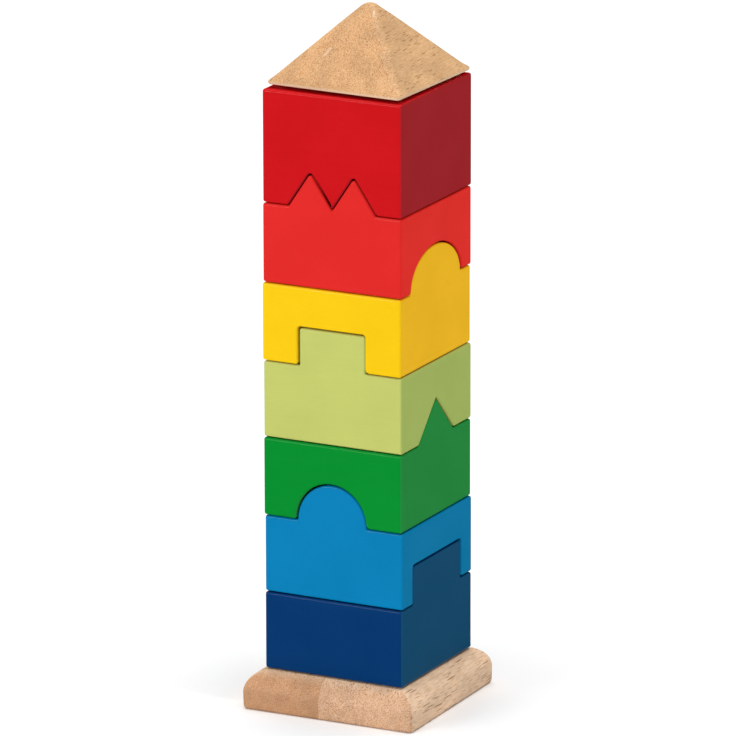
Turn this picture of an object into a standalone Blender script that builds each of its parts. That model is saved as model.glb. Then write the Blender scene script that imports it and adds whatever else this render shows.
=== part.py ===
"""
A wooden stacking tower. A base plate glued from two staves holds an upright rod. Seven square
blocks slide down over the rod, and the tongue on top of each one fits a groove of the same
outline under the next. A pyramid roof stands on the rod's tip, which reaches the bottom of its
blind hole and holds it just clear of the highest block. The blocks line up with X and Y; the base
and the roof, which turn freely under and over them, rest a little askew.

Metres, +Z up. The origin is the middle of the base plate's underside. Tongues that run along Y
show their outline on the -Y and +Y faces, and those that run along X on the -X and +X faces.
"""

import math
from collections import namedtuple

import bmesh
import bpy
from mathutils import Matrix, Vector

# Base plate
BASE_SIDE = 0.0735
BASE_THICKNESS = 0.0155
BASE_TOP_RADIUS = 0.0088
BASE_FOOT_RADIUS = 0.0015
GLUE_LINE_X = -0.0036
GLUE_LINE_WIDTH = 0.0002
SOCKET_FLOOR = 0.0045
BASE_TURN = math.radians(1.0)

# Rod
ROD_RADIUS = 0.0060
ROD_TIP_RADIUS = 0.0030
ROD_FOOT_CHAMFER = 0.0008

# Blocks
BLOCK_SIDE = 0.0600
EDGE_RADIUS = 0.0010
BORE_RADIUS = 0.0070

# Roof
ROOF_SIDE = 0.0579
ROOF_SLOPE = math.radians(46.6)
ROOF_TIP_RADIUS = 0.0054
ROOF_ARRIS_RADIUS = 0.0016
ROOF_ARRIS_START = 0.0080
ROOF_EDGE_RADIUS = 0.0009
ROOF_HOLE_DEPTH = 0.0125
ROOF_ABOVE_BLOCKS = 0.0013
ROOF_HOLE_RADIUS = 0.0075
ROOF_SHIFT = (0.0009, 0.0001)
ROOF_TURN = math.radians(-1.7)

# Clearances
SEAT_GAP = 0.0003
GROOVE_CLEARANCE = 0.0004
SOCKET_CLEARANCE = 0.0003

# How finely the round shapes are divided
ARCH_STEPS = 24
TOP_STEPS = 8
FOOT_STEPS = 2
ROUND_STEPS = 32
TIP_STEPS = 4
EDGE_SEGMENTS = 2
BALL_SIDES = 16
BALL_RINGS = 8
BEVEL_ANGLE = math.radians(30)
FLAT_ANGLE = math.radians(0.5)
WELD = 0.00001
CUT_EXTRA = 0.0050

NATURAL_WOOD = (0.66, 0.42, 0.25)
PAINT_ROUGHNESS = 0.35
WOOD_ROUGHNESS = 0.60

PARTS = "stacking_tower"
CUTTERS = "cutters"


# Outlines: points (across, up) from a tongue's left foot over its top to its right foot


def rectangle(width, height):
    half = width / 2
    return [(-half, 0.0), (-half, height), (half, height), (half, 0.0)]


def arch(width, height, off_centre=0.0):
    """Half an ellipse standing on its flat side."""
    points = []
    for step in range(ARCH_STEPS + 1):
        angle = math.pi * step / ARCH_STEPS
        points.append((off_centre - width / 2 * math.cos(angle), height * math.sin(angle)))
    return points


def peaks(width, height, count):
    """A row of equal peaks with straight flanks."""
    points = []
    for corner in range(2 * count + 1):
        points.append((width * (corner / (2 * count) - 0.5), height * (corner % 2)))
    return points


def grown(points, gap):
    """The same outline moved outwards by gap, its two feet kept at their height."""
    corners = [Vector(point) for point in points]
    along = [(b - a).normalized() for a, b in zip(corners, corners[1:])]
    outwards = [Vector((-step.y, step.x)) for step in along]
    moved = []
    for corner, first, second in zip(corners[1:], outwards, outwards[1:]):
        moved.append(corner + (first + second) * gap / (1 + first.dot(second)))
    left = corners[0] + outwards[0] * gap
    right = corners[-1] + outwards[-1] * gap
    left -= along[0] * left.y / along[0].y
    right -= along[-1] * right.y / along[-1].y
    return [tuple(point) for point in [left, *moved, right]]


# Each block: name, colour, height from seam to seam, its tongue's outline, the axis that the
# tongue runs along, and how far off the rod's centre line it rests within its clearance
Block = namedtuple("Block", "name colour height tongue runs shift")
BLOCKS = [
    Block("navy_block", (0.003, 0.042, 0.150), 0.03145,
          rectangle(0.0412, 0.0155), "X", (0.00040, -0.00025)),
    Block("light_blue_block", (0.003, 0.225, 0.480), 0.0311,
          arch(0.0300, 0.0155, off_centre=-0.0006), "Y", (0.00045, -0.00015)),
    Block("green_block", (0.008, 0.285, 0.035), 0.03155,
          peaks(0.0300, 0.0157, 1), "X", (0.00030, -0.00065)),
    Block("light_green_block", (0.570, 0.620, 0.165), 0.0307,
          rectangle(0.0286, 0.0150), "Y", (0.00035, -0.00045)),
    Block("yellow_block", (0.960, 0.620, 0.012), 0.0313,
          arch(0.0426, 0.0152), "X", (0.00005, -0.00065)),
    Block("light_red_block", (0.760, 0.030, 0.025), 0.0317,
          peaks(0.0374, 0.0139, 2), "Y", (0.00030, -0.00045)),
    Block("dark_red_block", (0.610, 0.010, 0.013), 0.0450,
          None, None, (0.00035, -0.00035)),
]


def clear_scene():
    for thing in list(bpy.data.objects):
        bpy.data.objects.remove(thing, do_unlink=True)


def new_collection(name):
    made = bpy.data.collections.new(name)
    bpy.context.scene.collection.children.link(made)
    return made


def material(name, colour, roughness):
    made = bpy.data.materials.new(name)
    made.use_nodes = True
    shader = made.node_tree.nodes["Principled BSDF"]
    shader.inputs["Base Color"].default_value = (*colour, 1.0)
    shader.inputs["Roughness"].default_value = roughness
    shader.inputs["Metallic"].default_value = 0.0
    return made


def add_object(name, mesh, collection):
    made = bpy.data.objects.new(name, mesh)
    bpy.data.collections[collection].objects.link(made)
    if collection == CUTTERS:
        made.hide_render = True
        made.display_type = "WIRE"
    return made


def mesh_from(name, shape):
    mesh = bpy.data.meshes.new(name)
    shape.to_mesh(mesh)
    shape.free()
    return mesh


def finish(thing, colour_name, colour, roughness):
    thing.data.materials.clear()
    thing.data.materials.append(material(colour_name, colour, roughness))
    thing.data.shade_smooth()
    thing.data.set_sharp_from_angle(angle=BEVEL_ANGLE)


def prism(name, outline, length, runs, collection):
    """A closed outline drawn in (across, Z) and extruded by length along the runs axis."""
    curve = bpy.data.curves.new(name, "CURVE")
    curve.dimensions = "2D"
    curve.fill_mode = "BOTH"
    curve.extrude = length / 2
    spline = curve.splines.new("POLY")
    spline.points.add(len(outline) - 1)
    for point, (across, up) in zip(spline.points, outline):
        point.co = (across, up, 0.0, 1.0)
    spline.use_cyclic_u = True
    drawn = bpy.data.objects.new(name, curve)
    bpy.context.scene.collection.objects.link(drawn)
    bpy.context.view_layer.update()
    evaluated = drawn.evaluated_get(bpy.context.evaluated_depsgraph_get())
    mesh = bpy.data.meshes.new_from_object(evaluated)
    bpy.data.objects.remove(drawn, do_unlink=True)
    shape = bmesh.new()
    shape.from_mesh(mesh)
    bmesh.ops.remove_doubles(shape, verts=shape.verts, dist=WELD)
    upright = Matrix.Rotation(math.radians(90), 4, "X")
    if runs == "X":
        upright = Matrix.Rotation(math.radians(90), 4, "Z") @ upright
    bmesh.ops.transform(shape, matrix=upright, verts=shape.verts)
    bmesh.ops.dissolve_limit(shape, angle_limit=FLAT_ANGLE, verts=shape.verts, edges=shape.edges)
    bmesh.ops.recalc_face_normals(shape, faces=shape.faces)
    shape.to_mesh(mesh)
    shape.free()
    mesh.name = name
    return add_object(name, mesh, collection)


def cylinder_cutter(name, radius, low, high):
    """A closed cylinder round the Z axis."""
    shape = bmesh.new()
    middle = Matrix.Translation((0.0, 0.0, (low + high) / 2))
    bmesh.ops.create_cone(shape, cap_ends=True, segments=ROUND_STEPS, radius1=radius,
                          radius2=radius, depth=high - low, matrix=middle)
    return add_object(name, mesh_from(name, shape), CUTTERS)


def box_cutter(name, low, high):
    """A box between two opposite corners."""
    size = Vector(high) - Vector(low)
    middle = (Vector(high) + Vector(low)) / 2
    shape = bmesh.new()
    place = Matrix.Translation(middle) @ Matrix.Diagonal((*size, 1.0))
    bmesh.ops.create_cube(shape, size=1.0, matrix=place)
    return add_object(name, mesh_from(name, shape), CUTTERS)


def turned(name, profile):
    """A profile of (radius, height) points, listed from the top down, turned round the Z axis."""
    shape = bmesh.new()
    corners = [shape.verts.new((radius, 0.0, height)) for radius, height in profile]
    for upper, lower in zip(corners, corners[1:]):
        shape.edges.new((upper, lower))
    made = add_object(name, mesh_from(name, shape), PARTS)
    screw = made.modifiers.new("turn", "SCREW")
    screw.steps = ROUND_STEPS
    screw.render_steps = ROUND_STEPS
    screw.use_merge_vertices = True
    screw.merge_threshold = WELD
    return made


def cut(thing, cutter, operation="DIFFERENCE"):
    boolean = thing.modifiers.new(cutter.name, "BOOLEAN")
    boolean.operation = operation
    boolean.object = cutter
    boolean.solver = "EXACT"


def soften_edges(thing):
    bevel = thing.modifiers.new("edges", "BEVEL")
    bevel.width = EDGE_RADIUS
    bevel.segments = EDGE_SEGMENTS
    bevel.limit_method = "ANGLE"
    bevel.angle_limit = BEVEL_ANGLE


def carry(lower, upper):
    """Parents the upper piece to the one that carries it, without moving it."""
    bpy.context.view_layer.update()
    upper.parent = lower
    upper.matrix_parent_inverse = lower.matrix_world.inverted()


def quarter(centre, radius, start, steps):
    """Points along a quarter circle that turns clockwise from the angle start."""
    points = []
    for step in range(steps + 1):
        angle = start - math.pi / 2 * step / steps
        points.append((centre[0] + radius * math.cos(angle), centre[1] + radius * math.sin(angle)))
    return points


def plate_outline():
    """The base plate's section: a flat foot with small round edges, a large round on the top edge."""
    half = BASE_SIDE / 2
    top = half - BASE_TOP_RADIUS
    foot = half - BASE_FOOT_RADIUS
    shoulder = BASE_THICKNESS - BASE_TOP_RADIUS
    return [
        *quarter((-foot, BASE_FOOT_RADIUS), BASE_FOOT_RADIUS, math.radians(270), FOOT_STEPS),
        *quarter((-top, shoulder), BASE_TOP_RADIUS, math.radians(180), TOP_STEPS),
        *quarter((top, shoulder), BASE_TOP_RADIUS, math.radians(90), TOP_STEPS),
        *quarter((foot, BASE_FOOT_RADIUS), BASE_FOOT_RADIUS, 0.0, FOOT_STEPS),
    ]


def make_base():
    """Two staves edge-glued along Y, rounded as one plate and drilled for the rod."""
    across = prism("plate_across", plate_outline(), BASE_SIDE, "X", CUTTERS)
    socket = cylinder_cutter("rod_socket", ROD_RADIUS + SOCKET_CLEARANCE, SOCKET_FLOOR,
                             BASE_THICKNESS + CUT_EXTRA)
    far = BASE_SIDE
    joint = GLUE_LINE_X
    sides = [
        ("base_stave_left", -far, joint - GLUE_LINE_WIDTH / 2),
        ("base_stave_right", joint + GLUE_LINE_WIDTH / 2, far),
    ]
    staves = []
    cutters = [across, socket]
    for name, low, high in sides:
        stave = prism(name, plate_outline(), BASE_SIDE, "Y", PARTS)
        width = box_cutter(f"{name}_width", (low, -far, -far), (high, far, far))
        cut(stave, across, "INTERSECT")
        cut(stave, width, "INTERSECT")
        cut(stave, socket)
        finish(stave, f"{name}_wood", NATURAL_WOOD, WOOD_ROUGHNESS)
        staves.append(stave)
        cutters.append(width)
    for piece in staves + cutters:
        piece.rotation_euler.z = BASE_TURN
    return staves


def make_rod(roof_foot):
    """The upright rod, glued into the base, with a rounded tip that carries the roof."""
    top = roof_foot + ROOF_HOLE_DEPTH - SEAT_GAP
    foot = SOCKET_FLOOR + SOCKET_CLEARANCE
    flat = ROD_RADIUS - ROD_TIP_RADIUS
    tip = quarter((flat, top - ROD_TIP_RADIUS), ROD_TIP_RADIUS, math.radians(90), TIP_STEPS)
    chamfer = ROD_RADIUS - ROD_FOOT_CHAMFER
    profile = [(0.0, top), *tip, (ROD_RADIUS, foot + ROD_FOOT_CHAMFER), (chamfer, foot), (0.0, foot)]
    rod = turned("centre_rod", profile)
    finish(rod, "centre_rod_wood", NATURAL_WOOD, WOOD_ROUGHNESS)
    return rod


def make_block(block, below, seam):
    """A square block with a tongue on top, a groove for the tongue below it and a bore."""
    half = BLOCK_SIDE / 2
    height = block.height - SEAT_GAP
    outline = [(-half, 0.0), (-half, height)]
    if block.tongue:
        outline += [(across, height + up) for across, up in block.tongue]
    outline += [(half, height), (half, 0.0)]
    made = prism(block.name, outline, BLOCK_SIDE, block.runs or "Y", PARTS)
    made.location = (*block.shift, seam + SEAT_GAP)
    if below:
        opening = grown(below.tongue, GROOVE_CLEARANCE)
        left, right = opening[0][0], opening[-1][0]
        opening = [(left, -CUT_EXTRA), *opening, (right, -CUT_EXTRA)]
        groove = prism(f"{block.name}_groove", opening, BLOCK_SIDE + 2 * CUT_EXTRA,
                       below.runs, CUTTERS)
        groove.location = (*block.shift, seam)
        cut(made, groove)
        carry(made, groove)
    soften_edges(made)
    bore = cylinder_cutter(f"{block.name}_bore", BORE_RADIUS, seam - CUT_EXTRA,
                           seam + 2 * block.height)
    bore.location = (*block.shift, 0.0)
    cut(made, bore)
    carry(made, bore)
    finish(made, f"{block.name}_paint", block.colour, PAINT_ROUGHNESS)
    return made


def make_roof(roof_foot):
    """A low pyramid: the hull of balls at its tip, down its arrises and at its lower corners."""
    foot = ROOF_SIDE / 2 - ROOF_EDGE_RADIUS
    steep = math.tan(ROOF_SLOPE)
    lean = 1 / math.cos(ROOF_SLOPE)
    slopes_meet = foot * steep + ROOF_EDGE_RADIUS * (1 + lean)
    shape = bmesh.new()
    rows = [
        (0.0, ROOF_TIP_RADIUS),
        (ROOF_ARRIS_START, ROOF_ARRIS_RADIUS),
        (foot, ROOF_EDGE_RADIUS),
    ]
    for across, radius in rows:
        height = slopes_meet - across * steep - radius * lean
        for x_side, y_side in ((1, 1), (1, -1), (-1, 1), (-1, -1)):
            place = Matrix.Translation((x_side * across, y_side * across, height))
            bmesh.ops.create_uvsphere(shape, u_segments=BALL_SIDES, v_segments=BALL_RINGS,
                                      radius=radius, matrix=place)
    bmesh.ops.delete(shape, geom=shape.edges[:], context="EDGES_FACES")
    bmesh.ops.remove_doubles(shape, verts=shape.verts, dist=WELD)
    hull = bmesh.ops.convex_hull(shape, input=shape.verts)
    inside = set(hull["geom_interior"] + hull["geom_unused"])
    spare = [part for part in inside if isinstance(part, bmesh.types.BMVert)]
    bmesh.ops.delete(shape, geom=spare, context="VERTS")
    bmesh.ops.recalc_face_normals(shape, faces=shape.faces)
    roof = add_object("pyramid_roof", mesh_from("pyramid_roof", shape), PARTS)
    roof.location = (*ROOF_SHIFT, roof_foot)
    roof.rotation_euler.z = ROOF_TURN
    hole = cylinder_cutter("roof_hole", ROOF_HOLE_RADIUS, roof_foot - CUT_EXTRA,
                           roof_foot + ROOF_HOLE_DEPTH)
    hole.location = (*ROOF_SHIFT, 0.0)
    cut(roof, hole)
    carry(roof, hole)
    finish(roof, "pyramid_roof_wood", NATURAL_WOOD, WOOD_ROUGHNESS)
    return roof


def main():
    clear_scene()
    new_collection(PARTS)
    new_collection(CUTTERS)
    tower = bpy.data.objects.new("tower_root", None)
    bpy.data.collections[PARTS].objects.link(tower)
    for stave in make_base():
        carry(tower, stave)
    carrier, below, seam = tower, None, BASE_THICKNESS
    for block in BLOCKS:
        made = make_block(block, below, seam)
        carry(carrier, made)
        carrier, below, seam = made, block, seam + block.height
    roof_foot = seam + ROOF_ABOVE_BLOCKS
    carry(carrier, make_roof(roof_foot))
    carry(tower, make_rod(roof_foot))


main()
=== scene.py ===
"""The looks of the wooden stacking tower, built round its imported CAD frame. Metres, +Z up."""

import math
from collections import namedtuple

import bmesh
import bpy
from mathutils import Matrix, Vector


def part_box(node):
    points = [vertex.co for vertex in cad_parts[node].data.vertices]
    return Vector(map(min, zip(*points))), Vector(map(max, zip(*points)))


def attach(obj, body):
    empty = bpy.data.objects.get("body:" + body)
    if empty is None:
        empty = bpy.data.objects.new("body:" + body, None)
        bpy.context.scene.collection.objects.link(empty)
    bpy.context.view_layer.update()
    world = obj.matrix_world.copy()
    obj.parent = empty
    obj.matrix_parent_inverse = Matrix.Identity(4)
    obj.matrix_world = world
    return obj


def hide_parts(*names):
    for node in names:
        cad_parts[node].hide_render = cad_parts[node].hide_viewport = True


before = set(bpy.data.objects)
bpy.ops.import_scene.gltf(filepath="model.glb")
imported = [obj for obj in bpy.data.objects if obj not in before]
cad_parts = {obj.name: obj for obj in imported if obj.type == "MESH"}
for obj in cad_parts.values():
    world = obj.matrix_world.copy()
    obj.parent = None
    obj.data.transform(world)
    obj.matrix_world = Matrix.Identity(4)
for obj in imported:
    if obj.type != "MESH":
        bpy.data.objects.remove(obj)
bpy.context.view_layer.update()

MM = 0.001

# Base plate, of two staves that meet at the glue line
BASE_SIDE = 73.5 * MM
BASE_TOP_ROUND = 8.8 * MM
BASE_FOOT_ROUND = 1.5 * MM
BASE_TOP_CORNER = 1.1 * MM
BASE_FOOT_CORNER = 1.6 * MM
BASE_TURN = math.radians(1.0)
GLUE_LINE = -3.6 * MM
GLUE_LINE_WIDTH = 0.06 * MM

# Rod, and the bores that slide over it
ROD_RADIUS = 6.0 * MM
ROD_TIP_ROUND = 3.0 * MM
ROD_FOOT_CHAMFER = 0.8 * MM
BORE_RADIUS = 7.0 * MM

# Roof: its arrises keep one radius up to the blend, and from there grow into the rounded tip
ROOF_SIDE = 57.9 * MM
ROOF_SLOPE = math.radians(46.6)
ROOF_EDGE_ROUND = 0.9 * MM
ROOF_FOOT_CORNER = 0.8 * MM
ROOF_ARRIS_ROUND = 3.0 * MM
ROOF_TIP_ROUND = 5.4 * MM
ROOF_BLEND_START = 10.0 * MM
ROOF_BLEND_POWER = 1.6
ROOF_TURN = math.radians(-1.7)
ROOF_LEAN = 0.5 * MM
ROOF_HOLE_RADIUS = 7.5 * MM
ROOF_HOLE_DEPTH = 12.5 * MM

# Two pale scuffs on the roof, from its middle at the foot: start, end and width in millimetres
ROOF_SCUFFS = [((-9.5, -18.3, 11.2), (-8.0, -16.2, 13.5), 1.3),
               ((5.4, -6.4, 23.9), (3.9, -3.4, 27.0), 0.8)]

# The gaps that show as dark seams: under each block, round each tongue and round the rod's foot.
# Each groove hangs a little to one side, by its play, on the tongue that it rides on.
SEAT_GAP = 0.36 * MM
GROOVE_GAP = 0.26 * MM
GROOVE_PLAY = 0.12 * MM
SOCKET_GAP = 0.3 * MM

# Softened edges and corners
SIDE_RADIUS = 1.0 * MM
EDGE_RADIUS = 0.9 * MM
TONGUE_CORNER = 1.15 * MM
FOOT_CORNER = 0.35 * MM
MOUTH_CORNERS = (1.15 * MM, 1.8 * MM)
VALLEY_CORNER = 0.35 * MM

# How finely the visible shapes are divided
ARCH_STEPS = 72
FILLET_STEPS = 6
ROUND_STEPS = 96
EDGE_SEGMENTS = 5
CORNER_STEPS = 8
BASE_FOOT_STEPS = 6
BASE_TOP_STEPS = 20
ROD_TIP_STEPS = 12
ROOF_EDGE_STEPS = 8
ROOF_SLOPE_STEPS = 10
ROOF_BLEND_STEPS = 14
ROOF_TIP_STEPS = 12
SMOOTH_ANGLE = math.radians(30)

# A cutter runs this far past what it cuts, points this close are one, and places this close match
CUT_EXTRA = 5 * MM
WELD = 0.001 * MM
MATCH = 0.01 * MM

# Natural rubberwood as linear colours: along the grain, and what speckle and pores make of it
WOOD = (0.70, 0.43, 0.235)
WOOD_DARK = (0.17, 0.31, 0.50)
WOOD_LIGHT = (0.13, 0.24, 0.42)
WOOD_PORE = (0.46, 0.33, 0.22)
# Pale wood for the real scuffs, and also for the painted highlight along the roof's foot
WOOD_SCUFF_AND_HIGHLIGHT = (0.80, 0.60, 0.42)

# A piece of bare wood: the axis that its fibres run along, its own part of the pattern, its colours
# along the grain and on end grain, how strong the end grain's speckle is, and the dashes along the
# grain: their width over their length, and how dark they are
Wood = namedtuple("Wood", "fibre seed side end speckle dash dark")
LEFT_STAVE_WOOD = Wood("Y", 1, (0.80, 0.54, 0.35), (0.555, 0.296, 0.150), 0.85, 0.05, 0.9)
RIGHT_STAVE_WOOD = Wood("Y", 2, (0.86, 0.60, 0.40), (0.675, 0.412, 0.249), 1.60, 0.05, 0.95)
ROD_WOOD = Wood("Z", 5, (0.74, 0.48, 0.28), (0.66, 0.40, 0.21), 0.6, 0.05, 0.6)
ROOF_WOOD = Wood("Y", 3, (0.69, 0.415, 0.202), (0.615, 0.350, 0.164), 1.40, 0.11, 0.65)

# The studio's soft lights, all turned to the middle of the tower: name, place, size and watts
LIGHTS_AIM = (0.0, 0.0, 0.14)
LIGHTS = [
    ("overhead", (0.0, 0.2, 4.4), (4.6, 4.6), 152.0),
    ("front", (-1.50, -2.80, 1.00), (1.6, 1.2), 37.0),
    ("glint", (1.20, -0.10, 2.45), (0.25, 0.25), 6.0),
]
WORLD_STRENGTH = 0.50
FLOOR_HALF = 6.0

# The camera, fitted to the tower's own edges
VIEW_AZIMUTH = math.radians(27.22)
VIEW_ELEVATION = math.radians(15.72)
VIEW_DISTANCE = 3.218
VIEW_ROLL = math.radians(0.128)
VIEW_LENS = 405.7
SENSOR = 36.0
AIM = Vector((0.38 * MM, -0.36 * MM, 133.53 * MM))


# ---------------------------------------------------------------- outlines of the tongues


def rectangle(width, height):
    """Points (across, up) from the left foot over the top to the right foot."""
    half = width / 2
    return [(-half, 0.0), (-half, height), (half, height), (half, 0.0)]


def arch(width, height, off_centre=0.0):
    """Half an ellipse standing on its flat side."""
    points = []
    for step in range(ARCH_STEPS + 1):
        angle = math.pi * step / ARCH_STEPS
        points.append((off_centre - width / 2 * math.cos(angle), height * math.sin(angle)))
    return points


def peaks(width, height, count):
    """A row of equal peaks with straight flanks."""
    points = []
    for corner in range(2 * count + 1):
        points.append((width * (corner / (2 * count) - 0.5), height * (corner % 2)))
    return points


def grown(points, gap):
    """The same outline moved outwards by gap, its two feet kept at their height."""
    corners = [Vector(point) for point in points]
    along = [(b - a).normalized() for a, b in zip(corners, corners[1:])]
    outwards = [Vector((-step.y, step.x)) for step in along]
    moved = []
    for corner, first, second in zip(corners[1:], outwards, outwards[1:]):
        moved.append(corner + (first + second) * gap / (1 + first.dot(second)))
    left = corners[0] + outwards[0] * gap
    right = corners[-1] + outwards[-1] * gap
    left -= along[0] * left.y / along[0].y
    right -= along[-1] * right.y / along[-1].y
    return [tuple(point) for point in [left, *moved, right]]


def clear_of_feet(points, distance):
    """The outline without the points that crowd its two feet, to leave room for round corners."""
    feet = [Vector(points[0]), Vector(points[-1])]
    kept = [point for point in points[1:-1]
            if all((Vector(point) - foot).length > distance for foot in feet)]
    return [points[0], *kept, points[-1]]


def rounded(points, radii):
    """The same open outline with each inner corner turned into an arc of its own radius."""
    corners = [Vector(point) for point in points]
    smooth_points = [points[0]]
    for before, corner, after, radius in zip(corners, corners[1:], corners[2:], radii):
        arriving = (corner - before).normalized()
        leaving = (after - corner).normalized()
        turn = arriving.angle_signed(leaving, 0.0)
        if radius == 0.0 or abs(turn) < 0.2:
            smooth_points.append(tuple(corner))
            continue
        reach = radius * math.tan(abs(turn) / 2)
        side = 1 if turn > 0 else -1
        start = corner - arriving * reach
        spoke = Vector((-arriving.y, arriving.x)) * side * radius
        if (start + spoke - corner).dot(leaving) < 0:
            spoke = -spoke
        centre = start + spoke
        first = start - centre
        last = corner + leaving * reach - centre
        sweep = first.angle_signed(last)
        for step in range(FILLET_STEPS + 1):
            angle = -sweep * step / FILLET_STEPS
            smooth_points.append((
                centre.x + first.x * math.cos(angle) - first.y * math.sin(angle),
                centre.y + first.x * math.sin(angle) + first.y * math.cos(angle)))
    smooth_points.append(points[-1])
    return smooth_points


# Each block from the base up: node, its tongue, the axis that the tongue runs along, the axis
# that the wood's fibres run along, and its paint colours for faces along the grain and on end
# grain: two differently lit copies of the one paint, holding painted shade and a painted sheen
Block = namedtuple("Block", "node tongue runs fibre side_paint end_paint")
BLOCKS = [
    Block("navy_block", rectangle(41.2 * MM, 15.5 * MM), "X", "X",
          (0.0005, 0.0360, 0.1480), (0.0068, 0.0755, 0.1690)),
    Block("light_blue_block", arch(30 * MM, 15.5 * MM, -0.6 * MM), "Y", "Y",
          (0.0007, 0.1990, 0.4120), (0.0005, 0.1975, 0.4390)),
    Block("green_block", peaks(30 * MM, 15.7 * MM, 1), "X", "X",
          (0.0003, 0.2530, 0.0255), (0.0180, 0.2640, 0.0510)),
    Block("light_green_block", rectangle(28.6 * MM, 15 * MM), "Y", "X",
          (0.5000, 0.5400, 0.1410), (0.3800, 0.4870, 0.1210)),
    Block("yellow_block", arch(42.6 * MM, 15.2 * MM), "X", "Y",
          (0.9050, 0.4990, 0.0112), (0.8530, 0.5378, 0.0040)),
    Block("light_red_block", peaks(37.4 * MM, 13.9 * MM, 2), "Y", "Y",
          (0.8106, 0.0277, 0.0213), (0.6940, 0.0205, 0.0186)),
    Block("dark_red_block", None, "Y", "X",
          (0.5540, 0.0046, 0.0080), (0.3640, 0.0157, 0.0217)),
]


# ---------------------------------------------------------------- meshes


def mesh_object(name, shape):
    """A new object from a bmesh, its faces all pointing outwards."""
    mesh = bpy.data.meshes.new(name)
    bmesh.ops.recalc_face_normals(shape, faces=shape.faces)
    shape.to_mesh(mesh)
    shape.free()
    made = bpy.data.objects.new(name, mesh)
    bpy.context.scene.collection.objects.link(made)
    return made


def apply_modifiers(piece):
    """Replaces a piece's mesh with what its modifiers make of it."""
    bpy.context.view_layer.update()
    evaluated = piece.evaluated_get(bpy.context.evaluated_depsgraph_get())
    mesh = bpy.data.meshes.new_from_object(evaluated)
    piece.modifiers.clear()
    piece.data = mesh


def cut(piece, cutter):
    """Takes the cutter's shape out of the piece, and the cutter out of the scene."""
    modifier = piece.modifiers.new("cut", "BOOLEAN")
    modifier.object = cutter
    modifier.operation = "DIFFERENCE"
    modifier.solver = "EXACT"
    apply_modifiers(piece)
    bpy.data.objects.remove(cutter, do_unlink=True)


def smooth(piece):
    """Smooth shading that keeps the large faces flat and the true corners sharp."""
    piece.data.shade_smooth()
    piece.data.set_sharp_from_angle(angle=SMOOTH_ANGLE)
    weighted = piece.modifiers.new("flat_faces", "WEIGHTED_NORMAL")
    weighted.keep_sharp = True
    weighted.weight = 100
    apply_modifiers(piece)


def prism(name, outline, low, high, runs, place):
    """A closed outline of (across, up) points, extruded from low to high along the runs axis."""
    shape = bmesh.new()
    rows = []
    for end in (low, high):
        if runs == "X":
            row = [shape.verts.new((end, across, up)) for across, up in outline]
        else:
            row = [shape.verts.new((across, end, up)) for across, up in outline]
        shape.faces.new(row)
        rows.append(row)
    for index in range(len(outline)):
        after = (index + 1) % len(outline)
        shape.faces.new((rows[0][index], rows[0][after], rows[1][after], rows[1][index]))
    bmesh.ops.translate(shape, verts=shape.verts, vec=place)
    return mesh_object(name, shape)


def cylinder(name, radius, low, high, centre):
    """An upright closed cylinder."""
    shape = bmesh.new()
    place = Matrix.Translation((centre[0], centre[1], (low + high) / 2))
    bmesh.ops.create_cone(shape, cap_ends=True, segments=ROUND_STEPS, radius1=radius,
                          radius2=radius, depth=high - low, matrix=place)
    return mesh_object(name, shape)


def rounded_square(half, radius):
    """Plan points of a square with round corners, anticlockwise."""
    points = []
    for corner in range(4):
        middle = math.pi / 4 + corner * math.pi / 2
        centre = (half - radius) * math.sqrt(2)
        for step in range(CORNER_STEPS + 1):
            angle = middle - math.pi / 4 + step * math.pi / 2 / CORNER_STEPS
            points.append((centre * math.cos(middle) + radius * math.cos(angle),
                           centre * math.sin(middle) + radius * math.sin(angle)))
    return points


def loft(name, rings, place):
    """Rounded squares (half side, corner radius, height) joined from the bottom up."""
    shape = bmesh.new()
    rows = []
    for half, radius, height in rings:
        plan = rounded_square(half, radius)
        rows.append([shape.verts.new((x, y, height)) for x, y in plan])
    for lower, upper in zip(rows, rows[1:]):
        for index in range(len(lower)):
            after = (index + 1) % len(lower)
            shape.faces.new((lower[index], lower[after], upper[after], upper[index]))
    shape.faces.new(rows[0])
    shape.faces.new(rows[-1])
    bmesh.ops.translate(shape, verts=shape.verts, vec=place)
    bmesh.ops.remove_doubles(shape, verts=shape.verts, dist=WELD)
    return mesh_object(name, shape)


# ---------------------------------------------------------------- materials


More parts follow.
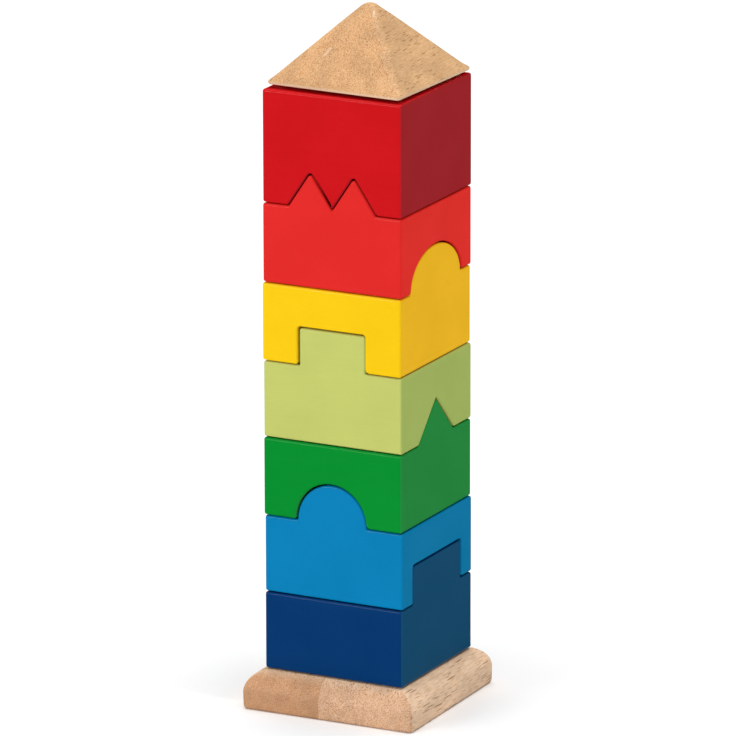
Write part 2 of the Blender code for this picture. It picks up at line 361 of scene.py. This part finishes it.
class Shader:
    """A material's node tree, with short calls that add a node and wire its inputs."""

    def __init__(self, name):
        self.material = bpy.data.materials.new(name)
        self.material.use_nodes = True
        self.tree = self.material.node_tree
        self.surface = self.tree.nodes["Principled BSDF"]

    def node(self, kind, inputs, **settings):
        made = self.tree.nodes.new(kind)
        for key, value in settings.items():
            setattr(made, key, value)
        for key, value in inputs.items():
            self.wire(made, key, value)
        return made

    def wire(self, node, key, value):
        if isinstance(value, bpy.types.NodeSocket):
            self.tree.links.new(value, node.inputs[key])
        else:
            node.inputs[key].default_value = value

    def math(self, operation, a, b=0.0, clamp=False):
        made = self.node("ShaderNodeMath", {0: a, 1: b}, operation=operation, use_clamp=clamp)
        return made.outputs[0]

    def ramp(self, value, low, high, out_low=0.0, out_high=1.0):
        made = self.node("ShaderNodeMapRange", {"Value": value, "From Min": low, "From Max": high,
                                                "To Min": out_low, "To Max": out_high},
                         interpolation_type="SMOOTHSTEP")
        return made.outputs["Result"]

    def mix(self, factor, a, b, blend="MIX"):
        made = self.node("ShaderNodeMix", {}, data_type="RGBA", blend_type=blend)
        for key, value in ((0, factor), (6, a), (7, b)):
            if isinstance(value, tuple) and len(value) == 3:
                value = (*value, 1.0)
            self.wire(made, key, value)
        return made.outputs[2]

    def coordinates(self, scale, offset=(0.0, 0.0, 0.0)):
        """Object coordinates in millimetres, scaled along each axis and moved."""
        where = self.node("ShaderNodeTexCoord", {}).outputs["Object"]
        scaled = tuple(1000 * part for part in scale)
        made = self.node("ShaderNodeMapping", {"Vector": where, "Scale": scaled,
                                               "Location": offset})
        return made.outputs["Vector"]

    def noise(self, where, scale, detail=2.0, roughness=0.5, distortion=0.0):
        made = self.node("ShaderNodeTexNoise", {"Vector": where, "Scale": scale, "Detail": detail,
                                                "Roughness": roughness,
                                                "Distortion": distortion})
        return made.outputs["Fac"]

    def cells(self, where, scale, randomness=1.0):
        made = self.node("ShaderNodeTexVoronoi", {"Vector": where, "Scale": scale,
                                                  "Randomness": randomness})
        return made.outputs["Distance"]

    def grey(self, tone):
        made = self.node("ShaderNodeCombineColor", {"Red": tone, "Green": tone, "Blue": tone})
        return made.outputs["Color"]

    def warped(self, where, scale, amount):
        """Coordinates pushed about by a slow noise, so that straight grain runs in waves."""
        push = self.node("ShaderNodeTexNoise", {"Vector": where, "Scale": scale, "Detail": 1.0})
        centred = self.node("ShaderNodeVectorMath", {0: push.outputs["Color"], 1: (0.5, 0.5, 0.5)},
                            operation="SUBTRACT")
        scaled = self.node("ShaderNodeVectorMath", {0: centred.outputs["Vector"], "Scale": amount},
                           operation="SCALE")
        moved = self.node("ShaderNodeVectorMath", {0: where, 1: scaled.outputs["Vector"]},
                          operation="ADD")
        return moved.outputs["Vector"]

    def distance_to_line(self, where, start, stop):
        """How far each point is from the straight line between two points."""
        line = Vector(stop) - Vector(start)
        offset = self.node("ShaderNodeVectorMath", {0: where, 1: start}, operation="SUBTRACT")
        share = self.node("ShaderNodeVectorMath", {0: offset.outputs["Vector"],
                                                   1: tuple(line / line.length_squared)},
                          operation="DOT_PRODUCT")
        inside = self.math("ADD", share.outputs["Value"], 0.0, clamp=True)
        foot = self.node("ShaderNodeVectorMath", {0: tuple(line), "Scale": inside},
                         operation="SCALE")
        gap = self.node("ShaderNodeVectorMath", {0: offset.outputs["Vector"],
                                                 1: foot.outputs["Vector"]}, operation="DISTANCE")
        return gap.outputs["Value"]

    def facing(self, axis):
        """1 where the surface faces along an axis of the object, 0 where it runs along it."""
        normal = self.node("ShaderNodeTexCoord", {}).outputs["Normal"]
        dot = self.node("ShaderNodeVectorMath", {0: normal, 1: axis}, operation="DOT_PRODUCT")
        return self.math("ABSOLUTE", dot.outputs["Value"])

    def bump(self, height, distance, strength=1.0, below=None):
        made = self.node("ShaderNodeBump", {"Height": height, "Distance": distance,
                                            "Strength": strength})
        if below is not None:
            self.wire(made, "Normal", below)
        return made.outputs["Normal"]


AXES = {"X": (1.0, 0.0, 0.0), "Y": (0.0, 1.0, 0.0), "Z": (0.0, 0.0, 1.0)}


def along(fibre, along_scale, across_scale=1.0):
    """A scale that draws a texture out along the fibres."""
    return tuple(along_scale if part else across_scale for part in AXES[fibre])


def rubberwood(shader, wood):
    """Solid rubberwood: (colour, height, pores). Pores are dots on end grain, dashes elsewhere."""
    fibre, dash = wood.fibre, wood.dash
    move = (17.3 * wood.seed, 31.7 * wood.seed, 11.9 * wood.seed)
    end_grain = shader.ramp(shader.facing(AXES[fibre]), 0.12, 0.78)
    body = shader.mix(end_grain, wood.side, wood.end)
    speckle = shader.noise(shader.coordinates(along(fibre, dash * 1.5), move), 2.6, 2.0, 0.7)
    fibres = shader.noise(shader.coordinates(along(fibre, 0.03), move), 1.6, 2.0, 0.6)
    mottle = shader.noise(shader.coordinates(along(fibre, 0.5), move), 0.12, 3.0, 0.6)
    grains = shader.ramp(speckle, 0.34, 0.66)
    amount = shader.ramp(end_grain, 0.0, 1.0, 0.40, wood.speckle)
    tint = shader.mix(grains, tuple(1 - part for part in WOOD_DARK),
                      tuple(1 + part for part in WOOD_LIGHT))
    body = shader.mix(amount, body, shader.mix(1.0, body, tint, "MULTIPLY"))
    tone = shader.math("MULTIPLY", shader.ramp(fibres, 0.34, 0.66, 0.96, 1.03),
                       shader.ramp(mottle, 0.32, 0.68, 0.89, 1.07))
    body = shader.mix(1.0, body, shader.grey(tone), "MULTIPLY")
    waves = shader.warped(shader.coordinates(along(fibre, dash), move), 0.10, 1.0)
    large = shader.cells(waves, 1.25)
    small = shader.cells(shader.coordinates(along(fibre, dash * 1.5), move), 1.6)
    patchy = shader.noise(shader.coordinates(along(fibre, 0.3), move), 0.16, 2.0)
    large_pore = shader.ramp(large, 0.19, 0.28, 1.0, 0.0)
    small_pore = shader.ramp(small, 0.16, 0.28, 0.75, 0.0)
    pores = shader.math("MAXIMUM", large_pore, small_pore)
    pores = shader.math("MULTIPLY", pores, shader.ramp(patchy, 0.36, 0.58, 0.30, 1.0))
    depth = shader.ramp(end_grain, 0.0, 1.0, wood.dark, 0.50 * wood.speckle)
    stained = shader.mix(1.0, body, WOOD_PORE, "MULTIPLY")
    colour = shader.mix(shader.math("MULTIPLY", pores, depth), body, stained)
    height = shader.math("SUBTRACT", shader.math("MULTIPLY", grains, 0.3), pores)
    return colour, height, pores


def natural_wood(name, wood, foot=None, scuffs=()):
    """Sanded and lightly waxed rubberwood, with a painted highlight along its foot, and paler where
    it is scuffed.
    """
    shader = Shader(name)
    colour, height, pores = rubberwood(shader, wood)
    if foot is not None:
        place = shader.node("ShaderNodeSeparateXYZ", {0: shader.coordinates((0.0, 0.0, 1.0))})
        # painted highlight: a paler band on the rounded foot edge, fading out 1.5 mm up
        foot_highlight = shader.ramp(place.outputs["Z"], foot / MM + 0.6, foot / MM + 1.5, 0.75, 0.0)
        colour = shader.mix(foot_highlight, colour, WOOD_SCUFF_AND_HIGHLIGHT)
    for start, stop, width in scuffs:
        gap = shader.distance_to_line(shader.coordinates((1.0, 1.0, 1.0)), start, stop)
        pale = shader.ramp(gap, 0.0, width, 1.0, 0.0)
        colour = shader.mix(pale, colour, WOOD_SCUFF_AND_HIGHLIGHT)
    sanded = shader.noise(shader.coordinates((1.0, 1.0, 1.0)), 0.35, 2.0)
    shader.wire(shader.surface, "Base Color", colour)
    roughness = shader.math("ADD", shader.ramp(sanded, 0.3, 0.7, 0.46, 0.60),
                            shader.math("MULTIPLY", pores, 0.2))
    shader.wire(shader.surface, "Roughness", roughness)
    shader.surface.inputs["Specular IOR Level"].default_value = 0.3
    wavy = shader.bump(sanded, 0.10 * MM, 0.5)
    shader.wire(shader.surface, "Normal", shader.bump(height, 0.05 * MM, 0.6, wavy))
    return shader.material


def painted_wood(name, fibre, seed, paint, end_paint, bore):
    """Satin toy paint over wood: faint grain under it, bare wood inside the bore. The two paint
    colours, for faces along the grain and on end grain, hold painted shade and a painted sheen.
    """
    shader = Shader(name)
    move = (13.1 * seed, 7.7 * seed, 23.3 * seed)
    coat = shader.noise(shader.coordinates((1.0, 1.0, 1.0), move), 0.045, 3.0, 0.5)
    grain = shader.noise(shader.coordinates(along(fibre, 0.05), move), 0.9, 3.0, 0.6, 0.3)
    pores = shader.ramp(shader.cells(shader.coordinates(along(fibre, 0.10), move), 0.8),
                        0.10, 0.24, 1.0, 0.0)
    patchy = shader.noise(shader.coordinates(along(fibre, 0.3), move), 0.09)
    pores = shader.math("MULTIPLY", pores, shader.ramp(patchy, 0.45, 0.65))
    tone = shader.math("MULTIPLY", shader.ramp(coat, 0.3, 0.7, 0.97, 1.02),
                       shader.ramp(grain, 0.25, 0.75, 0.99, 1.01))
    tone = shader.math("MULTIPLY", tone, shader.ramp(pores, 0.0, 1.0, 1.0, 0.95))
    end_grain = shader.ramp(shader.facing(AXES[fibre]), 0.25, 0.75)
    # painted shade and painted sheen: each face takes the lit copy of the paint that suits its side
    colour = shader.mix(end_grain, paint, end_paint)
    colour = shader.mix(1.0, colour, shader.grey(tone), "MULTIPLY")
    bare = rubberwood(shader, Wood(fibre, seed, WOOD, WOOD, 1.0, 0.1, 0.9))[0]
    centred = shader.coordinates((1.0, 1.0, 0.0), tuple(-1000 * part for part in bore) + (0.0,))
    radius = shader.node("ShaderNodeVectorMath", {0: centred}, operation="LENGTH")
    overspray = shader.noise(shader.coordinates((1.0, 1.0, 0.3), move), 0.35, 3.0, 0.7)
    edge = shader.math("ADD", radius.outputs["Value"],
                       shader.ramp(overspray, 0.2, 0.8, -0.05, 0.05))
    limit = BORE_RADIUS / MM
    inside = shader.ramp(edge, limit + 0.06, limit + 0.12, 1.0, 0.0)
    shader.wire(shader.surface, "Base Color", shader.mix(inside, colour, bare))
    satin = shader.ramp(coat, 0.3, 0.7, 0.30, 0.40)
    satin = shader.math("ADD", satin, shader.ramp(grain, 0.3, 0.7, -0.02, 0.03))
    roughness = shader.math("ADD", satin, shader.math("MULTIPLY", inside, 0.3))
    shader.wire(shader.surface, "Roughness", roughness)
    shader.surface.inputs["Specular IOR Level"].default_value = 0.03
    shader.surface.inputs["Coat Weight"].default_value = 0.2
    shader.surface.inputs["Coat Roughness"].default_value = 0.1
    brushed = shader.bump(coat, 0.35 * MM, 0.5)
    fine = shader.math("SUBTRACT", grain, shader.math("MULTIPLY", pores, 1.2))
    shader.wire(shader.surface, "Normal", shader.bump(fine, 0.03 * MM, 0.6, brushed))
    return shader.material


# ---------------------------------------------------------------- the tower


def put(piece, material, node, body):
    """Gives a finished piece its material and lets it stand for its CAD node."""
    piece.data.materials.clear()
    piece.data.materials.append(material)
    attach(piece, body)
    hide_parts(node)


def block_outline(half, height, tongue):
    """A block's section: a plain rectangle, or one with a tongue on its upper edge."""
    if not tongue:
        return [(-half, 0.0), (-half, height), (half, height), (half, 0.0)]
    raised = clear_of_feet([(across, height + up) for across, up in tongue], 2 * FOOT_CORNER)
    outline = [(-half, height), *raised, (half, height)]
    inner = [TONGUE_CORNER] * (len(raised) - 2)
    if len(tongue) == 5:
        inner[1] = 0.0
    outline = rounded(outline, [FOOT_CORNER, *inner, FOOT_CORNER])
    return [(-half, 0.0), *outline, (half, 0.0)]


def groove_outline(tongue, runs):
    """The opening that the tongue below slides into, with soft corners at its mouth."""
    play = GROOVE_PLAY if runs == "X" else -GROOVE_PLAY
    opening = [(across + play, up) for across, up in grown(tongue, GROOVE_GAP)]
    opening = clear_of_feet(opening, 1.1 * max(MOUTH_CORNERS))
    left, right = opening[0][0], opening[-1][0]
    far = 2 * CUT_EXTRA
    outline = [(left - far, 0.0), *opening, (right + far, 0.0)]
    inner = [TONGUE_CORNER] * (len(opening) - 2)
    if len(tongue) == 5:
        inner[1] = VALLEY_CORNER
    outline = rounded(outline, [MOUTH_CORNERS[0], *inner, MOUTH_CORNERS[1]])
    return [(left - far, -CUT_EXTRA), *outline, (right + far, -CUT_EXTRA)]


def soften_edges(piece, half):
    """Rounds every sharp edge, the four upright ones more than the others."""
    mesh = piece.data
    weights = mesh.attributes.new("bevel_weight_edge", "FLOAT", "EDGE")
    shape = bmesh.new()
    shape.from_mesh(mesh)
    middle_x = (max(v.co.x for v in shape.verts) + min(v.co.x for v in shape.verts)) / 2
    middle_y = (max(v.co.y for v in shape.verts) + min(v.co.y for v in shape.verts)) / 2
    for edge in shape.edges:
        if len(edge.link_faces) != 2 or edge.calc_face_angle(0.0) < SMOOTH_ANGLE:
            continue
        upright = all(abs(abs(v.co.x - middle_x) - half) < MATCH
                      and abs(abs(v.co.y - middle_y) - half) < MATCH for v in edge.verts)
        weights.data[edge.index].value = 1.0 if upright else EDGE_RADIUS / SIDE_RADIUS
    shape.free()
    bevel = piece.modifiers.new("edges", "BEVEL")
    bevel.width = SIDE_RADIUS
    bevel.segments = EDGE_SEGMENTS
    bevel.limit_method = "WEIGHT"
    bevel.use_clamp_overlap = False
    apply_modifiers(piece)


def make_blocks():
    tops = [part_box(block.node)[0].z - SEAT_GAP for block in BLOCKS[1:]]
    tops.append(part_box(BLOCKS[-1].node)[1].z)
    below = None
    for index, block in enumerate(BLOCKS):
        node = block.node
        low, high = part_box(node)
        centre = ((low.x + high.x) / 2, (low.y + high.y) / 2)
        half = (high.x - low.x) / 2
        outline = block_outline(half, tops[index] - low.z, block.tongue)
        piece = prism(f"{node}_painted", outline, -half, half, block.runs, (*centre, low.z))
        if below:
            opening = groove_outline(below.tongue, below.runs)
            far = half + CUT_EXTRA
            cut(piece, prism("groove", opening, -far, far, below.runs, (*centre, low.z)))
        soften_edges(piece, half)
        cut(piece, cylinder("bore", BORE_RADIUS, low.z - CUT_EXTRA, high.z + CUT_EXTRA, centre))
        smooth(piece)
        finish = painted_wood(f"{node}_finish", block.fibre, index + 1, block.side_paint,
                              block.end_paint, centre)
        put(piece, finish, node, node)
        below = block


def arc(start, stop, steps):
    """Evenly spaced values from start to stop, both included."""
    return [start + (stop - start) * step / steps for step in range(steps + 1)]


def make_base():
    """The base plate, one smooth form cut into its two staves at the glue line."""
    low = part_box("base_stave_left")[0]
    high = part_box("base_stave_right")[1]
    half = BASE_SIDE / 2
    foot, top = BASE_FOOT_ROUND, BASE_TOP_ROUND
    rings = []
    for angle in arc(-math.pi / 2, 0.0, BASE_FOOT_STEPS):
        inset = foot * (1 - math.cos(angle))
        rings.append((half - inset, BASE_FOOT_CORNER, foot + foot * math.sin(angle)))
    for angle in arc(0.0, math.pi / 2, BASE_TOP_STEPS):
        inset = top * (1 - math.cos(angle))
        rings.append((half - inset, BASE_TOP_CORNER, high.z - top + top * math.sin(angle)))
    staves = ((-1, "base_stave_left", LEFT_STAVE_WOOD), (1, "base_stave_right", RIGHT_STAVE_WOOD))
    for side, node, wood in staves:
        stave = loft(f"{node}_wood", rings, (0.0, 0.0, low.z))
        shape = bmesh.new()
        shape.from_mesh(stave.data)
        edge = GLUE_LINE + side * GLUE_LINE_WIDTH / 2
        everything = shape.verts[:] + shape.edges[:] + shape.faces[:]
        halved = bmesh.ops.bisect_plane(shape, geom=everything, plane_co=(edge, 0.0, 0.0),
                                        plane_no=(-side, 0.0, 0.0), clear_outer=True)
        rim = [part for part in halved["geom_cut"] if isinstance(part, bmesh.types.BMEdge)]
        bmesh.ops.contextual_create(shape, geom=rim)
        bmesh.ops.transform(shape, matrix=Matrix.Rotation(BASE_TURN, 4, "Z"), verts=shape.verts)
        bmesh.ops.recalc_face_normals(shape, faces=shape.faces)
        shape.to_mesh(stave.data)
        shape.free()
        socket_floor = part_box("centre_rod")[0].z - SOCKET_GAP
        cut(stave, cylinder("socket", ROD_RADIUS + SOCKET_GAP, socket_floor,
                            high.z + CUT_EXTRA, (0.0, 0.0)))
        smooth(stave)
        put(stave, natural_wood(f"{node}_finish", wood), node, "base")


def make_rod():
    """The rod: a profile of (radius, height) points spun round the tower's axis."""
    low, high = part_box("centre_rod")
    tip, chamfer = ROD_TIP_ROUND, ROD_FOOT_CHAMFER
    profile = [(0.0, low.z), (ROD_RADIUS - chamfer, low.z), (ROD_RADIUS, low.z + chamfer)]
    for angle in arc(0.0, math.pi / 2, ROD_TIP_STEPS):
        profile.append((ROD_RADIUS - tip + tip * math.cos(angle),
                        high.z - tip + tip * math.sin(angle)))
    profile.append((0.0, high.z))
    shape = bmesh.new()
    line = [shape.verts.new((radius, 0.0, height)) for radius, height in profile]
    edges = [shape.edges.new(pair) for pair in zip(line, line[1:])]
    bmesh.ops.spin(shape, geom=line + edges, cent=(0, 0, 0), axis=(0, 0, 1),
                   angle=math.tau, steps=ROUND_STEPS)
    bmesh.ops.remove_doubles(shape, verts=shape.verts, dist=WELD)
    rod = mesh_object("centre_rod_wood", shape)
    smooth(rod)
    put(rod, natural_wood("centre_rod_finish", ROD_WOOD), "centre_rod", "base")


def make_roof():
    """A pyramid with soft arrises that run together into a rounded tip."""
    low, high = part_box("pyramid_roof")
    centre = ((low.x + high.x) / 2, (low.y + high.y) / 2)
    edge, tip, arris = ROOF_EDGE_ROUND, ROOF_TIP_ROUND, ROOF_ARRIS_ROUND
    foot = ROOF_SIDE / 2 - edge
    turn = math.pi / 2 - ROOF_SLOPE
    steep = math.tan(ROOF_SLOPE)
    rings = []
    for angle in arc(-math.pi / 2, turn, ROOF_EDGE_STEPS):
        reach = foot + edge * math.cos(angle)
        corner = ROOF_FOOT_CORNER + edge * math.cos(angle)
        rings.append((reach, corner, edge + edge * math.sin(angle)))
    slope_half, slope_low = rings[-1][0], rings[-1][2]
    tip_half = tip * math.cos(turn)
    for reach in arc(slope_half, ROOF_BLEND_START, ROOF_SLOPE_STEPS)[1:]:
        rings.append((reach, arris, slope_low + (slope_half - reach) * steep))
    for share in arc(0.0, 1.0, ROOF_BLEND_STEPS)[1:]:
        reach = ROOF_BLEND_START + (tip_half - ROOF_BLEND_START) * share
        radius = arris + (tip_half - arris) * share ** ROOF_BLEND_POWER
        rings.append((reach, min(radius, reach), slope_low + (slope_half - reach) * steep))
    tip_centre = rings[-1][2] - tip * math.sin(turn)
    for angle in arc(turn, math.pi / 2, ROOF_TIP_STEPS)[1:-1]:
        reach = tip * math.cos(angle)
        rings.append((reach, reach, tip_centre + tip * math.sin(angle)))
    roof = loft("pyramid_roof_wood", rings, (0.0, 0.0, 0.0))
    place = Matrix.Translation((*centre, low.z)) @ Matrix.Rotation(ROOF_TURN, 4, "Z")
    for vertex in roof.data.vertices:
        vertex.co.x += ROOF_LEAN * vertex.co.z / (high.z - low.z)
    roof.data.transform(place)
    hole_top = low.z + ROOF_HOLE_DEPTH
    cut(roof, cylinder("roof_hole", ROOF_HOLE_RADIUS, low.z - CUT_EXTRA, hole_top, centre))
    smooth(roof)
    middle = Vector((*centre, low.z)) / MM
    scuffs = [(tuple(middle + Vector(start)), tuple(middle + Vector(stop)), width)
              for start, stop, width in ROOF_SCUFFS]
    wood = natural_wood("pyramid_roof_finish", ROOF_WOOD, low.z, scuffs)
    put(roof, wood, "pyramid_roof", "pyramid_roof")


# ---------------------------------------------------------------- studio


def area_light(name, place, size, watts):
    light = bpy.data.lights.new(name, "AREA")
    light.shape = "RECTANGLE"
    light.size, light.size_y = size
    light.energy = watts
    lamp = bpy.data.objects.new(name, light)
    lamp.location = place
    aim = Vector(LIGHTS_AIM) - Vector(place)
    lamp.rotation_euler = aim.to_track_quat("-Z", "Y").to_euler()
    bpy.context.scene.collection.objects.link(lamp)


def make_studio():
    scene = bpy.context.scene
    scene.view_settings.view_transform = "Standard"
    scene.view_settings.look = "None"
    world = bpy.data.worlds.new("studio")
    world.use_nodes = True
    background = world.node_tree.nodes["Background"]
    background.inputs["Color"].default_value = (1.0, 1.0, 1.0, 1.0)
    background.inputs["Strength"].default_value = WORLD_STRENGTH
    world.cycles_visibility.glossy = False
    scene.world = world
    for light in LIGHTS:
        area_light(*light)
    shape = bmesh.new()
    bmesh.ops.create_grid(shape, x_segments=2, y_segments=2, size=FLOOR_HALF)
    floor = mesh_object("floor", shape)
    paper = Shader("floor_paper")
    fleck = paper.noise(paper.coordinates((1.0, 1.0, 1.0)), 0.8, 2.0)
    tone = paper.ramp(fleck, 0.3, 0.7, 0.945, 0.955)
    paper.wire(paper.surface, "Base Color", paper.grey(tone))
    paper.surface.inputs["Roughness"].default_value = 0.95
    paper.surface.inputs["Specular IOR Level"].default_value = 0.0
    floor.data.materials.append(paper.material)
    floor.visible_glossy = False


def make_camera():
    back = Vector((math.sin(VIEW_AZIMUTH) * math.cos(VIEW_ELEVATION),
                   -math.cos(VIEW_AZIMUTH) * math.cos(VIEW_ELEVATION), math.sin(VIEW_ELEVATION)))
    right = Vector((math.cos(VIEW_AZIMUTH), math.sin(VIEW_AZIMUTH), 0.0))
    up = back.cross(right)
    turned_right = right * math.cos(VIEW_ROLL) - up * math.sin(VIEW_ROLL)
    turned_up = back.cross(turned_right)
    camera = bpy.data.cameras.new("camera")
    camera.lens = VIEW_LENS
    camera.sensor_width = SENSOR
    camera.clip_end = 50.0
    made = bpy.data.objects.new("camera", camera)
    pose = Matrix((turned_right, turned_up, back)).transposed().to_4x4()
    pose.translation = AIM + back * VIEW_DISTANCE
    made.matrix_world = pose
    bpy.context.scene.collection.objects.link(made)
    bpy.context.scene.camera = made


make_camera()
make_base()
make_rod()
make_blocks()
make_roof()
make_studio()
